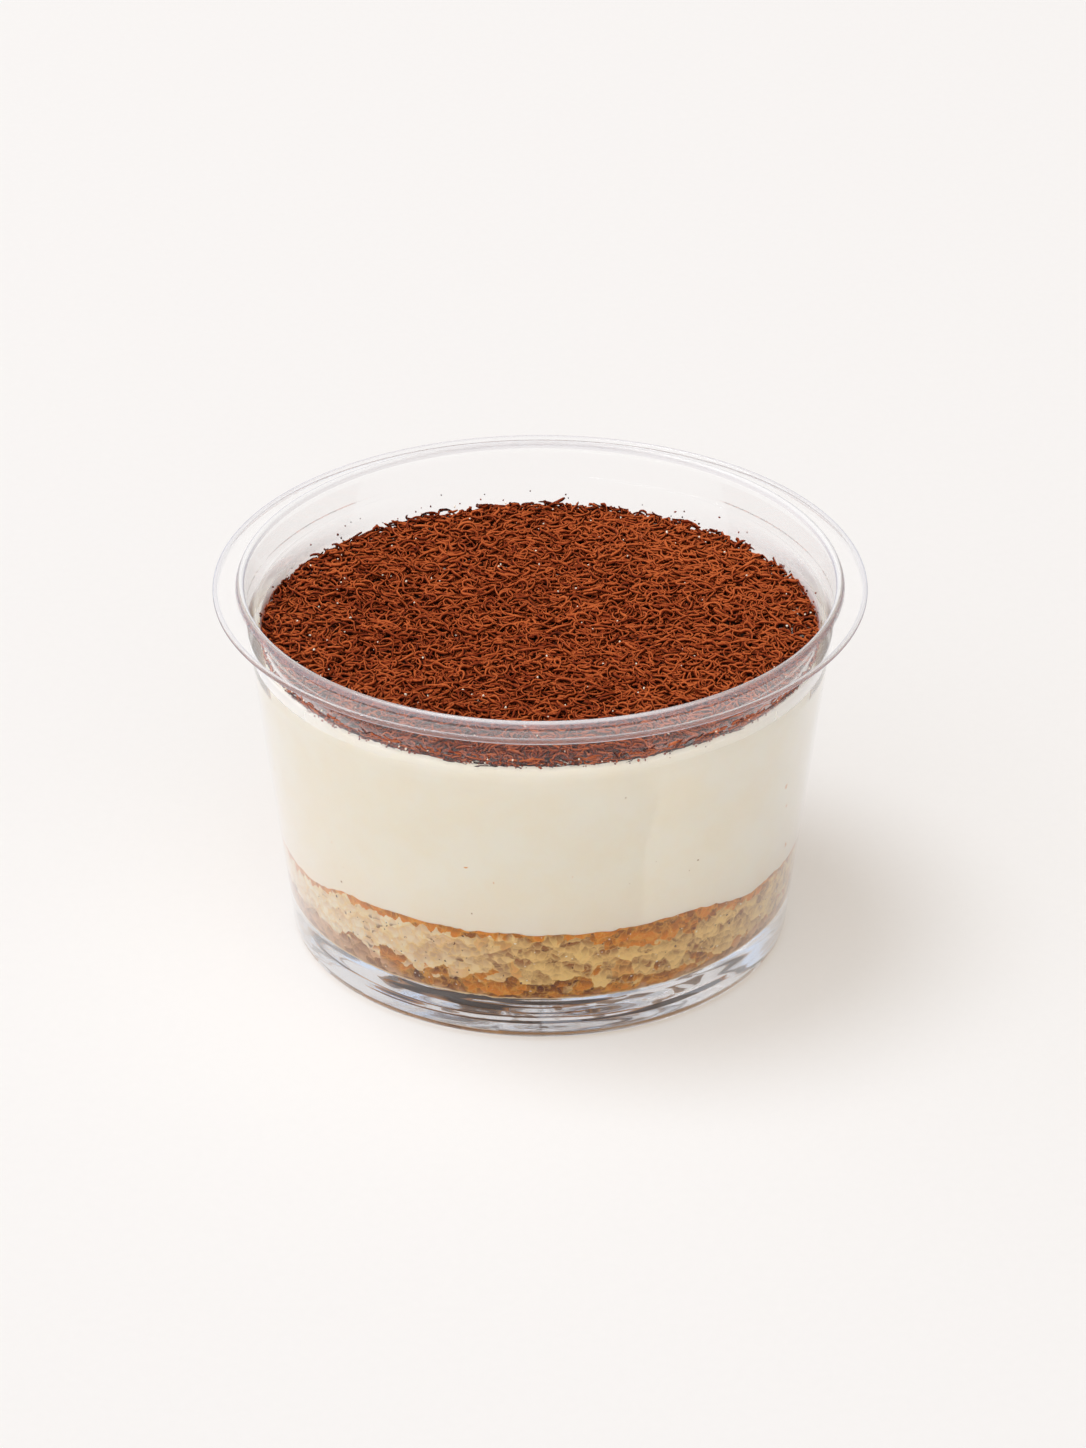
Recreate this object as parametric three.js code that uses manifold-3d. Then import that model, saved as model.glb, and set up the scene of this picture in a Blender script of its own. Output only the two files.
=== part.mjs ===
// A single-serve tiramisu in a clear plastic cup: soaked sponge, mascarpone cream and a layer of
// fine curled chocolate shavings. Millimetres, +Z up, origin at the middle of the foot on the table.
import * as THREE from "three";
import { mergeVertices } from "three/addons/utils/BufferGeometryUtils.js";
import Module from "manifold-3d";

const wasm = await Module();
wasm.setup();

// Driving dimensions of the cup
const RIM_RADIUS = 47.5; // outside of the rolled lip
const CUP_HEIGHT = 56.6; // table to the top of the inner bead
const WALL_RADIUS_AT_TABLE = 36.66; // the outer wall's cone, carried down to the table
const WALL_TAPER = 0.1203; // growth of the wall's radius for each millimetre of height
const WALL_THICKNESS = 1.9; // below the stacking ledge
const NECK_THICKNESS = 1.05; // above the stacking ledge
const LEDGE_HEIGHT = 51.7; // the stacking ledge on the inside of the neck
const LEDGE_FILLET = 0.45;
const FLOOR_HEIGHT = 6.4; // top of the thick base
const FLOOR_CORNER = 2.6; // inside corner between the floor and the wall
const FOOT_CORNER = 1.5; // outside corner between the foot and the wall
const FOOT_WIDTH = 2.0; // flat ring that stands on the table
const UNDERSIDE_RECESS = 0.9; // height of the shallow dish under the base, in its middle
const DISH_RADIUS = 20; // flat middle of that dish
const RECESS_EDGE = 0.25; // height of its edge, just inside the flat ring
const RECESS_SLOPE = 0.45; // width of the step from the ring up to that edge

// The rim's flange
const LIP_RADIUS = 0.42; // section of the rolled lip
const LIP_CENTRE_HEIGHT = 55.4;
const BEAD_RADIUS = 0.5; // section of the raised bead round the mouth
const BEAD_CENTRE_RADIUS = 43.5;
const FLANGE_TOP = 55.6; // flat ring between the bead and the lip
const FLANGE_UNDERSIDE = 55.0;
const FLARE = 0.5; // how far the wall flares out under the flange

// The food, from the floor up
const GAP = 0.3; // clearance between neighbouring solids
const SPONGE_TOP = 18.6;
const SPONGE_WAVE = 0.27; // unevenness of the boundary between sponge and cream
const SPONGE_SAG = 2.0; // how far the sponge's edge sags on the left and on the right
const SAG_MIDDLES = [-76, 67]; // degrees round from the front
const SAG_HALF = 32;
const PORE_DEPTH = 0.75; // open pores in the side of the crumb
const SOAKED_CORNER = 0.22; // how the soaked crumb draws back from the cup's corner
const CREAM_TOP = 47.0; // in the middle of the cup, as are the shavings
const SHAVINGS_TOP = 48.3;
const LAYER_TILT = 0.017; // the two top layers stand a little higher at the front
const HEAP_WAVE = 0.3; // unevenness of the shavings at the size of a spoonful
const TANGLE_BUMP = 0.45; // and at the size of a few shavings

// Shavings that lie loose on the layer
const SHAVING_WIDTH = 0.6;
const SHAVING_COUNT = 56;
const SHAVING_SIDES = 3;
const SHAVING_STEPS = 5;

// How finely round shapes are faceted
const CUP_SEGMENTS = 64;
const FOOD_SEGMENTS = 96;
const SPONGE_ROWS = 5;
const TANGLE_RINGS = 24;

const TAU = 2 * Math.PI;
const GOLDEN_ANGLE = Math.PI * (3 - Math.sqrt(5));

function outerRadius(z) {
  return WALL_RADIUS_AT_TABLE + WALL_TAPER * z;
}

function innerRadius(z) {
  return outerRadius(z) - WALL_THICKNESS;
}

// Radius of the food's side, which keeps clear of the wall
function foodRadius(z) {
  return innerRadius(z) - GAP;
}

// Random numbers from 0 to 1 that come out the same every time
function seededRandom(seed) {
  let state = seed;
  return () => {
    state = (state + 0x6d2b79f5) | 0;
    let t = Math.imul(state ^ (state >>> 15), 1 | state);
    t = (t + Math.imul(t ^ (t >>> 7), 61 | t)) ^ t;
    return ((t ^ (t >>> 14)) >>> 0) / 4294967296;
  };
}

// A fixed number from 0 to 1 for each lattice point
function latticeValue(i, j, k) {
  const h = Math.sin(i * 127.1 + j * 311.7 + k * 74.7) * 43758.5453;
  return h - Math.floor(h);
}

// Smooth noise from -1 to 1 whose lumps are about one unit across
function noise(x, y, z) {
  const cell = [x, y, z].map(Math.floor);
  const [u, v, w] = [x, y, z].map((c, n) => {
    const t = c - cell[n];
    return t * t * (3 - 2 * t);
  });
  const at = (a, b, c) => latticeValue(cell[0] + a, cell[1] + b, cell[2] + c);
  const mix = (a, b, t) => a + (b - a) * t;
  const layer = (c) =>
    mix(mix(at(0, 0, c), at(1, 0, c), u), mix(at(0, 1, c), at(1, 1, c), u), v);
  return 2 * mix(layer(0), layer(1), w) - 1;
}

// Points of a round stretch of a profile, from one angle to another in degrees
function arc(centreRadius, centreHeight, radius, from, to, steps) {
  return Array.from({ length: steps + 1 }, (_, i) => {
    const a = THREE.MathUtils.degToRad(from + ((to - from) * i) / steps);
    return new THREE.Vector2(
      centreRadius + radius * Math.cos(a),
      centreHeight + radius * Math.sin(a),
    );
  });
}

// The cup's section, from the axis under the floor, out and up the wall, over the rim and back in
function cupProfile() {
  const point = (r, z) => new THREE.Vector2(r, z);
  const slope = THREE.MathUtils.radToDeg(Math.atan(WALL_TAPER));
  const footCentre = outerRadius(FOOT_CORNER) - FOOT_CORNER;
  const footInner = footCentre - FOOT_WIDTH;
  const flareStart = FLANGE_UNDERSIDE - 0.85 * FLARE;
  const wallTop = outerRadius(flareStart);
  const neckRadius = outerRadius(LEDGE_HEIGHT) - NECK_THICKNESS;
  const ledgeInner = innerRadius(LEDGE_HEIGHT);
  const cornerHeight = FLOOR_HEIGHT + FLOOR_CORNER;
  const cornerCentre = innerRadius(cornerHeight) - FLOOR_CORNER;
  return [
    point(0, UNDERSIDE_RECESS),
    point(DISH_RADIUS, UNDERSIDE_RECESS),
    point(footInner - RECESS_SLOPE, RECESS_EDGE),
    point(footInner, 0),
    ...arc(footCentre, FOOT_CORNER, FOOT_CORNER, -90, -slope, 3),
    point(wallTop, flareStart),
    point(wallTop + 0.3 * FLARE, FLANGE_UNDERSIDE - 0.3 * FLARE),
    point(wallTop + FLARE, FLANGE_UNDERSIDE),
    ...arc(RIM_RADIUS - LIP_RADIUS, LIP_CENTRE_HEIGHT, LIP_RADIUS, -80, 95, 5),
    point(RIM_RADIUS - 2 * LIP_RADIUS, FLANGE_TOP),
    point(BEAD_CENTRE_RADIUS + 1.5 * BEAD_RADIUS, FLANGE_TOP),
    ...arc(BEAD_CENTRE_RADIUS, CUP_HEIGHT - BEAD_RADIUS, BEAD_RADIUS, 25, 185, 4),
    point(neckRadius, LEDGE_HEIGHT + LEDGE_FILLET),
    point(neckRadius - 0.4 * LEDGE_FILLET, LEDGE_HEIGHT + 0.2 * LEDGE_FILLET),
    ...arc(ledgeInner + LEDGE_FILLET, LEDGE_HEIGHT - LEDGE_FILLET, LEDGE_FILLET, 90, 180, 2),
    ...arc(cornerCentre, cornerHeight, FLOOR_CORNER, -slope, -90, 3),
    point(0, FLOOR_HEIGHT),
  ];
}

// Adds the triangles between two neighbouring rings, which may have different numbers of points.
// A ring of one point is a middle.
function joinRings(triangles, from, to) {
  const [m, n] = [from, to].map((ring) => (ring.length > 1 ? ring.length : 0));
  const pointOf = (ring, i) => ring[i % ring.length];
  let i = 0;
  let j = 0;
  while (i < m || j < n) {
    const alongFrom = j >= n || (i < m && (i + 1) * n <= (j + 1) * m);
    const corner = alongFrom ? pointOf(from, i + 1) : pointOf(to, j + 1);
    triangles.push(pointOf(from, i), corner, pointOf(to, j));
    if (alongFrom) i++;
    else j++;
  }
}

// A closed round solid from rings of points, in order from the middle of the underside, out, up the
// side and back in over the top. `at` gives a ring's radius and height at each angle.
function ringsGeometry(rings) {
  const positions = [];
  const triangles = [];
  const loops = rings.map(({ count, at }) =>
    Array.from({ length: count }, (_, i) => {
      const angle = (TAU * i) / count;
      const [radius, height] = at(angle);
      positions.push(radius * Math.cos(angle), radius * Math.sin(angle), height);
      return positions.length / 3 - 1;
    }),
  );
  for (let n = 0; n + 1 < loops.length; n++) joinRings(triangles, loops[n], loops[n + 1]);
  const geometry = new THREE.BufferGeometry();
  geometry.setAttribute("position", new THREE.Float32BufferAttribute(positions, 3));
  geometry.setIndex(triangles);
  return geometry;
}

// 1 on a stretch of the wall and 0 past its ends, in degrees round from the front
function stretchOfWall(angle, middle, half) {
  const away = THREE.MathUtils.euclideanModulo(THREE.MathUtils.radToDeg(angle) + 270 - middle, 360);
  return 1 - THREE.MathUtils.smoothstep(Math.abs(away - 180), 0.4 * half, half);
}

// Height of the sponge's uneven top: level in the middle, ragged and sagging where it meets the wall
function spongeTop(share, angle) {
  const [x, y] = [Math.cos(angle), Math.sin(angle)];
  const broad = noise(2.2 * x + 5, 2.2 * y + 5, 1.5);
  const fine = noise(9 * x + 20, 9 * y + 20, 4.5);
  const sag = SAG_MIDDLES.reduce((sum, middle) => sum + stretchOfWall(angle, middle, SAG_HALF), 0);
  return SPONGE_TOP + (SPONGE_WAVE * (broad + fine) - SPONGE_SAG * sag) * share ** 4;
}

// A level of the two top layers at one place
function tilted(level, radius, angle) {
  return level - LAYER_TILT * radius * Math.sin(angle);
}

// The edge of such a level, where it meets the wall
function edgeAt(level) {
  return (angle) => {
    const z = tilted(level, foodRadius(level), angle);
    return [foodRadius(z), z];
  };
}

// The crumb's side: open pores sink in, and the soaked bottom edge draws back from the corner
function spongeSide(angle, z) {
  const crumb = foodRadius(z);
  const [x, y] = [crumb * Math.cos(angle), crumb * Math.sin(angle)];
  const pore = Math.max(0, noise(x / 2.4, y / 2.4, z / 2.2)) + 0.2;
  const low = Math.max(0, FLOOR_HEIGHT + FLOOR_CORNER + 0.6 - z);
  return crumb - PORE_DEPTH * pore - SOAKED_CORNER * low ** 2;
}

// The sponge's top and the cream's underside share these rings, so the gap between them is even
const BOUNDARY_RINGS = [
  { count: 1, share: 0 },
  { count: FOOD_SEGMENTS / 4, share: 0.5 },
  { count: FOOD_SEGMENTS / 2, share: 0.85 },
];

function spongeGeometry() {
  const underside = FLOOR_HEIGHT + GAP;
  const row = (n) => (angle) => {
    const z = THREE.MathUtils.lerp(underside, spongeTop(1, angle), n / SPONGE_ROWS);
    return [spongeSide(angle, z), z];
  };
  const top = ({ count, share }) => ({
    count,
    at: (angle) => [share * foodRadius(SPONGE_TOP), spongeTop(share, angle)],
  });
  return ringsGeometry([
    { count: 1, at: () => [0, underside] },
    ...Array.from({ length: SPONGE_ROWS + 1 }, (_, n) => ({ count: FOOD_SEGMENTS, at: row(n) })),
    ...BOUNDARY_RINGS.map(top).reverse(),
  ]);
}

// Cream fills the cup from wall to wall, down to the sponge's uneven top
function creamGeometry() {
  const below = ({ count, share }) => ({
    count,
    at: (angle) => [share * foodRadius(SPONGE_TOP), spongeTop(share, angle) + GAP],
  });
  const lowerEdge = (angle) => {
    const z = spongeTop(1, angle) + GAP;
    return [foodRadius(z), z];
  };
  return ringsGeometry([
    ...BOUNDARY_RINGS.map(below),
    { count: FOOD_SEGMENTS, at: lowerEdge },
    { count: FOOD_SEGMENTS, at: edgeAt(CREAM_TOP) },
    { count: 1, at: () => [0, CREAM_TOP] },
  ]);
}

// Height of the tangle of shavings, lumpy at the size of a few shavings
function shavingsTop(share, angle) {
  const r = share * foodRadius(SHAVINGS_TOP);
  const [x, y] = [r * Math.cos(angle), r * Math.sin(angle)];
  const heap = HEAP_WAVE * noise(x / 11, y / 11, 2.5);
  const tangle = TANGLE_BUMP * noise(x / 2.3, y / 2.3, 7.5);
  return tilted(SHAVINGS_TOP, r, angle) + heap + tangle;
}

// The tangle's core, with a net of near-even triangles on top: ring k of the net has 6 k points
function tangleGeometry() {
  const underside = CREAM_TOP + GAP;
  const net = (k) => ({
    count: Math.max(1, 6 * k),
    at: (angle) => {
      const share = k / TANGLE_RINGS;
      const z = shavingsTop(share, angle);
      return [share * foodRadius(z), z];
    },
  });
  return ringsGeometry([
    { count: 1, at: () => [0, underside] },
    { count: 6 * TANGLE_RINGS, at: edgeAt(underside) },
    ...Array.from({ length: TANGLE_RINGS + 1 }, (_, k) => net(TANGLE_RINGS - k)),
  ]);
}

// One short curled shaving: its path turns by `turn` over `length`, lifted at its free end
function shavingCurve(length, turn, lift, wobble) {
  const points = Array.from({ length: SHAVING_STEPS + 1 }, (_, i) => {
    const t = i / SHAVING_STEPS - 0.5;
    const heading = turn * t;
    const along = Math.abs(turn) > 0.05 ? (length * Math.sin(heading)) / turn : length * t;
    const across = Math.abs(turn) > 0.05 ? (length * (1 - Math.cos(heading))) / turn : 0;
    const height = lift * Math.max(0, t) ** 2 * 4;
    return new THREE.Vector3(along, across + wobble * Math.sin(9 * t), height);
  });
  return new THREE.CatmullRomCurve3(points);
}

function shavingGeometry(curve, width) {
  const section = new THREE.Shape(
    Array.from({ length: SHAVING_SIDES }, (_, i) => {
      const a = (TAU * (i + 0.5)) / SHAVING_SIDES;
      return new THREE.Vector2(0.5 * width * Math.cos(a), 0.5 * width * Math.sin(a));
    }),
  );
  return new THREE.ExtrudeGeometry(section, {
    steps: SHAVING_STEPS,
    curveSegments: 1,
    bevelEnabled: false,
    extrudePath: curve,
  });
}

function solidOf(geometry) {
  const bare = geometry.clone();
  bare.deleteAttribute("normal");
  bare.deleteAttribute("uv");
  const merged = mergeVertices(bare, 1e-4);
  return new wasm.Manifold(
    new wasm.Mesh({
      numProp: 3,
      vertProperties: merged.attributes.position.array,
      triVerts: new Uint32Array(merged.index.array),
    }),
  );
}

function geometryOf(solid) {
  const mesh = solid.getMesh();
  const geometry = new THREE.BufferGeometry();
  geometry.setAttribute("position", new THREE.BufferAttribute(mesh.vertProperties, 3));
  geometry.setIndex(new THREE.BufferAttribute(mesh.triVerts, 1));
  return geometry;
}

// The layer of shavings: a lumpy core with loose curls fused to its top, spread evenly. A curl that
// hangs clear of the core is left off.
function shavingsGeometry() {
  let layer = solidOf(tangleGeometry());
  const random = seededRandom(7);
  const reach = foodRadius(SHAVINGS_TOP) - 2.9;
  for (let i = 0; i < SHAVING_COUNT; i++) {
    const radius = reach * Math.sqrt((i + 0.5) / SHAVING_COUNT);
    const angle = i * GOLDEN_ANGLE + 0.3 * (random() - 0.5);
    const curve = shavingCurve(
      3.2 + 2.4 * random(),
      (random() - 0.5) * 4.4,
      0.25 + 0.9 * random() ** 2,
      0.25 * (random() - 0.5),
    );
    const level = shavingsTop(radius / foodRadius(SHAVINGS_TOP), angle);
    const place = new THREE.Matrix4()
      .makeTranslation(radius * Math.cos(angle), radius * Math.sin(angle), level + 0.05)
      .multiply(new THREE.Matrix4().makeRotationZ(TAU * random()));
    const curl = shavingGeometry(curve, SHAVING_WIDTH * (0.85 + 0.4 * random()));
    layer = layer.add(solidOf(curl.applyMatrix4(place)));
  }
  const [whole] = layer.decompose().sort((a, b) => b.volume() - a.volume());
  return geometryOf(whole);
}

function part(name, geometry, material) {
  const mesh = new THREE.Mesh(geometry, new THREE.MeshStandardMaterial(material));
  mesh.name = name;
  return mesh;
}

function cup() {
  const lathe = new THREE.LatheGeometry(cupProfile(), CUP_SEGMENTS);
  lathe.rotateX(Math.PI / 2); // the lathe turns about Y, and the cup stands along Z
  return part("cup", geometryOf(solidOf(lathe)), {
    color: 0xf1f1f2,
    roughness: 0.04,
    metalness: 0,
    transparent: true,
    opacity: 0.3,
  });
}

const sponge = part("sponge", spongeGeometry(), { color: 0xc99a5c, roughness: 0.85, metalness: 0 });
const cream = part("cream", creamGeometry(), { color: 0xf0e8d6, roughness: 0.45, metalness: 0 });
const shavings = part("chocolate_shavings", shavingsGeometry(), {
  color: 0x6f2f15,
  roughness: 0.6,
  metalness: 0,
});

const tiramisuCup = new THREE.Group();
tiramisuCup.add(cup(), sponge, cream, shavings);

export default tiramisuCup;
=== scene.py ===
"""Looks of a single-serve tiramisu in its clear plastic cup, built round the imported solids."""

import itertools
import math

import bpy
import numpy as np
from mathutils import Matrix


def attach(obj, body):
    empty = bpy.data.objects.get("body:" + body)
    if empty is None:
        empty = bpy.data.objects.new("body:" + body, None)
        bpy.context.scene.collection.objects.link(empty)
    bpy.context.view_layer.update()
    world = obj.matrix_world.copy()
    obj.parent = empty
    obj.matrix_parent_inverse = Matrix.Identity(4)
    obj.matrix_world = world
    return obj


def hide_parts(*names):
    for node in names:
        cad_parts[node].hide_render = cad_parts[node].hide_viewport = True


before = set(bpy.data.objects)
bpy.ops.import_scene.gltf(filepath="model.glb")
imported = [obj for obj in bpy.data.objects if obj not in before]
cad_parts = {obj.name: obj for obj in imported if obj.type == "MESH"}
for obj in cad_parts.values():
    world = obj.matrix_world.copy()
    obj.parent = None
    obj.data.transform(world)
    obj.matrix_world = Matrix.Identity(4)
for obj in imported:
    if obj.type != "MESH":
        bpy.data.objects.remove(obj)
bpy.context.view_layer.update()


# The cup: one injection moulding of clear polystyrene. A thick base and a drafted wall lead to a
# stacking ledge, a thin neck and a flat flange, with a bead round the mouth and a rolled lip for
# the lid to snap over. The hollow underside sank a little as the thick base cooled.
MM = 0.001
RIM_RADIUS = 47.5
CUP_HEIGHT = 56.6
WALL_RADIUS_AT_TABLE = 36.66
WALL_TAPER = 0.1203
WALL_THICKNESS = 1.9
NECK_THICKNESS = 1.05
LEDGE_HEIGHT = 51.7
LEDGE_FILLET = 0.45
FLOOR_HEIGHT = 6.4
FLOOR_CORNER = 2.6
FOOT_CORNER = 1.5
FOOT_WIDTH = 2.0
UNDERSIDE_RECESS = 0.9
RECESS_EDGE = 0.25
RECESS_SLOPE = 0.45
DISH_RADIUS = 20.0
UNDERSIDE_ROWS = 48
SINK_DEPTH = 0.09
LIP_RADIUS = 0.42
LIP_CENTRE_HEIGHT = 55.4
BEAD_RADIUS = 0.5
BEAD_CENTRE_RADIUS = 43.5
FLANGE_TOP = 55.6
FLANGE_UNDERSIDE = 55.0
FLARE = 0.5
BESIDE_LIP = 0.9
UNDER_BEAD = 1.03
CUP_SEGMENTS = 200


def outer_radius(z):
    return WALL_RADIUS_AT_TABLE + WALL_TAPER * z


def inner_radius(z):
    return outer_radius(z) - WALL_THICKNESS


CORNER_HEIGHT = FLOOR_HEIGHT + FLOOR_CORNER
CORNER_CENTRE = inner_radius(CORNER_HEIGHT) - FLOOR_CORNER


def arc(radius, height, size, start, end, steps):
    """Points of a round stretch of a section, from one angle to another in degrees."""
    turn = np.radians(np.linspace(start, end, steps + 1))
    return np.column_stack([radius + size * np.cos(turn), height + size * np.sin(turn)])


def line(*corners, steps=1):
    """Points along straight stretches of a section, `steps` to each stretch."""
    runs = [np.linspace(a, b, steps + 1)[:-1] for a, b in zip(corners, corners[1:])]
    return np.vstack([*runs, corners[-1:]])


def cup_section():
    """Radius and height along the cup, from the middle of the underside over the rim to the floor."""
    slope = math.degrees(math.atan(WALL_TAPER))
    foot_centre = outer_radius(FOOT_CORNER) - FOOT_CORNER
    foot_inner = foot_centre - FOOT_WIDTH
    hollow = [(0, UNDERSIDE_RECESS), (DISH_RADIUS, UNDERSIDE_RECESS)]
    hollow_edge = (foot_inner - RECESS_SLOPE, RECESS_EDGE)
    flare_start = FLANGE_UNDERSIDE - 0.85 * FLARE
    wall_top = outer_radius(flare_start)
    neck = outer_radius(LEDGE_HEIGHT) - NECK_THICKNESS
    ledge = inner_radius(LEDGE_HEIGHT)
    return np.vstack([
        line(*hollow, hollow_edge, steps=UNDERSIDE_ROWS // 2),
        line((foot_inner - 0.12, 0.04), (foot_inner + 0.1, 0)),
        arc(foot_centre, FOOT_CORNER, FOOT_CORNER, -90, -slope, 10),
        line((outer_radius(8), 8), (wall_top, flare_start), steps=8),
        arc(wall_top + FLARE, flare_start - 0.1, 0.85 * FLARE + 0.1, 180 - slope, 90, 8)[1:],
        line((RIM_RADIUS - BESIDE_LIP, FLANGE_UNDERSIDE)),
        arc(RIM_RADIUS - LIP_RADIUS, LIP_CENTRE_HEIGHT, LIP_RADIUS, -80, 110, 14),
        line((RIM_RADIUS - 2 * LIP_RADIUS, FLANGE_TOP), (BEAD_CENTRE_RADIUS + 0.75, FLANGE_TOP)),
        arc(BEAD_CENTRE_RADIUS, CUP_HEIGHT - BEAD_RADIUS, BEAD_RADIUS, 10, 185, 10),
        line((neck + UNDER_BEAD, FLANGE_TOP)),
        line((neck, LEDGE_HEIGHT + 0.6), (neck - 0.06, LEDGE_HEIGHT + 0.22)),
        line((neck - 0.24, LEDGE_HEIGHT + 0.04)),
        arc(ledge + LEDGE_FILLET, LEDGE_HEIGHT - LEDGE_FILLET, LEDGE_FILLET, 90, 180, 6),
        line((inner_radius(46), 46), (inner_radius(12), 12), steps=6),
        arc(CORNER_CENTRE, CORNER_HEIGHT, FLOOR_CORNER, -slope, -90, 12),
        line((30, FLOOR_HEIGHT), (0, FLOOR_HEIGHT), steps=3),
    ])


def lattice(i, j, k):
    """A fixed number from 0 to 1 for each lattice point."""
    mixed = np.sin(i * 127.1 + j * 311.7 + k * 74.7) * 43758.5453
    return mixed - np.floor(mixed)


def lumps(x, y, z):
    """Smooth noise from -1 to 1 whose lumps are about one unit across."""
    spot = np.broadcast_arrays(x, y, z)
    cell = [np.floor(c) for c in spot]
    ease = [(c - n) ** 2 * (3 - 2 * (c - n)) for c, n in zip(spot, cell)]
    total = 0
    for corner in itertools.product((0, 1), repeat=3):
        weight = math.prod(e if side else 1 - e for e, side in zip(ease, corner))
        total = total + weight * lattice(*(n + side for n, side in zip(cell, corner)))
    return 2 * total - 1


def round_faces(rows, count):
    """Faces of a closed round body: a middle, `rows` rings of `count` points, and a middle."""
    here = np.arange(count)
    after = (here + 1) % count
    ring = np.arange(rows - 1)[:, None] * count + 1
    sides = np.stack([ring + here, ring + after, ring + count + after, ring + count + here], -1)
    last = rows * count + 1
    top = 1 + (rows - 1) * count
    below = np.column_stack([np.zeros(count, int), 1 + after, 1 + here])
    above = np.column_stack([np.full(count, last), top + here, top + after])
    return sides.reshape(-1, 4).tolist() + below.tolist() + above.tolist()


def round_points(radius, height, angle):
    """Points of a closed round body from its rings, each an array of rings by angles."""
    x, y = radius * np.cos(angle), radius * np.sin(angle)
    rings = np.stack([x, y, np.broadcast_to(height, x.shape)], -1)
    middles = [[[0, 0, rings[n, :, 2].mean()]] for n in (0, -1)]
    return np.vstack([middles[0], rings.reshape(-1, 3), middles[1]])


def piece(name, points, faces, finish, node=None, shade=None, sharp=None):
    """A mesh from points in millimetres, on the one body, and the solid that it stands for."""
    mesh = bpy.data.meshes.new(name)
    mesh.from_pydata(np.asarray(points, float) * MM, [], faces)
    mesh.shade_smooth()
    if sharp:
        mesh.set_sharp_from_angle(angle=math.radians(sharp))
    for title, values in (shade or {}).items():
        layer = mesh.attributes.new(title, "FLOAT", "POINT")
        layer.data.foreach_set("value", np.asarray(values, np.float32).ravel())
    mesh.materials.append(finish.block)
    made = bpy.data.objects.new(name, mesh)
    bpy.context.scene.collection.objects.link(made)
    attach(made, "root")
    if node:
        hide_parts(node)
    return made


class Wire:
    """A value in a finish. Sums with it add the Math nodes that work them out."""

    def __init__(self, finish, socket):
        self.finish = finish
        self.socket = socket

    def maths(self, operation, *values):
        sockets = dict(enumerate(values))
        return self.finish.node("ShaderNodeMath", {"operation": operation}, sockets)

    def __add__(self, other):
        return self.maths("ADD", self, other)

    def __radd__(self, other):
        return self.maths("ADD", other, self)

    def __sub__(self, other):
        return self.maths("SUBTRACT", self, other)

    def __rsub__(self, other):
        return self.maths("SUBTRACT", other, self)

    def __mul__(self, other):
        return self.maths("MULTIPLY", self, other)

    def __rmul__(self, other):
        return self.maths("MULTIPLY", other, self)

    def between(self, low, high):
        """0 below `low` and 1 above `high`, with a smooth rise from one to the other."""
        settings = {"interpolation_type": "SMOOTHSTEP"}
        sockets = {"Value": self, "From Min": low, "From Max": high}
        return self.finish.node("ShaderNodeMapRange", settings, sockets)


class Finish:
    """The nodes of a procedural material or of the room, added as they are asked for."""

    def __init__(self, block):
        self.block = block
        block.use_nodes = True
        self.tree = block.node_tree
        self.tree.nodes.clear()

    def node(self, kind, settings, sockets, output=0):
        """Adds a node of a type: its settings first, then its sockets' values or links."""
        made = self.tree.nodes.new(kind)
        for title, value in settings.items():
            setattr(made, title, value)
        for key, value in sockets.items():
            if isinstance(value, Wire):
                self.tree.links.new(value.socket, made.inputs[key])
            else:
                made.inputs[key].default_value = value
        return Wire(self, made.outputs[output]) if made.outputs else None

    def place(self):
        """Where a point is on the object, in metres."""
        return self.node("ShaderNodeTexCoord", {}, {}, "Object")

    def axis(self, vector, name):
        """One of the three numbers of a vector."""
        return self.node("ShaderNodeSeparateXYZ", {}, {"Vector": vector}, name)

    def grain(self, scale, detail=2.0, stretch=(1, 1, 1), roughness=0.5, spot=None):
        """Cloudy noise from 0 to 1, `scale` lumps to the metre, squeezed along the axes."""
        spot = self.node(
            "ShaderNodeVectorMath", {"operation": "MULTIPLY"}, {0: spot or self.place(), 1: stretch}
        )
        sockets = {"Vector": spot, "Scale": scale, "Detail": detail, "Roughness": roughness}
        return self.node("ShaderNodeTexNoise", {}, sockets)

    def dots(self, scale, size, share):
        """Small round dots in a share of the cells of a lattice, `scale` cells to the metre."""
        sockets = {"Vector": self.place(), "Scale": scale, "Randomness": 1.0}
        away = self.node("ShaderNodeTexVoronoi", {}, sockets)
        chosen = self.grain(2.3 * scale, detail=0.0)
        cut = 0.78 - 0.45 * share
        return (1 - away.between(0.6 * size, size)) * chosen.between(cut, cut + 0.04)

    def stored(self, title):
        """A number that the mesh holds at each of its points."""
        return self.node("ShaderNodeAttribute", {"attribute_name": title}, {}, "Fac")

    def blend(self, mask, under, over):
        """One colour over another, by a mask from 0 to 1."""
        return self.node("ShaderNodeMix", {"data_type": "RGBA"}, {0: mask, 6: under, 7: over}, 2)

    def bump(self, height, depth_mm):
        """Fine relief that is too small for the mesh, with a height from 0 to 1."""
        sockets = {"Height": height, "Strength": 1.0, "Distance": depth_mm * MM}
        return self.node("ShaderNodeBump", {}, sockets)

    def surface(self, sockets):
        return self.node("ShaderNodeBsdfPrincipled", {}, sockets)

    def layered(self, mask, under, over):
        """One shader over another, by a mask from 0 to 1."""
        return self.node("ShaderNodeMixShader", {}, {0: mask, 1: under, 2: over})

    def show(self, shader, output="ShaderNodeOutputMaterial"):
        self.node(output, {}, {"Surface": shader})
        return self


def new_finish(name):
    return Finish(bpy.data.materials.new(name))


def colour(red, green, blue):
    """A colour as shaders need it, from the 0 to 255 values seen on a screen."""
    seen = [value / 255 for value in (red, green, blue)]
    straight = [v / 12.92 if v <= 0.04045 else ((v + 0.055) / 1.055) ** 2.4 for v in seen]
    return (*straight, 1.0)


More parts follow.
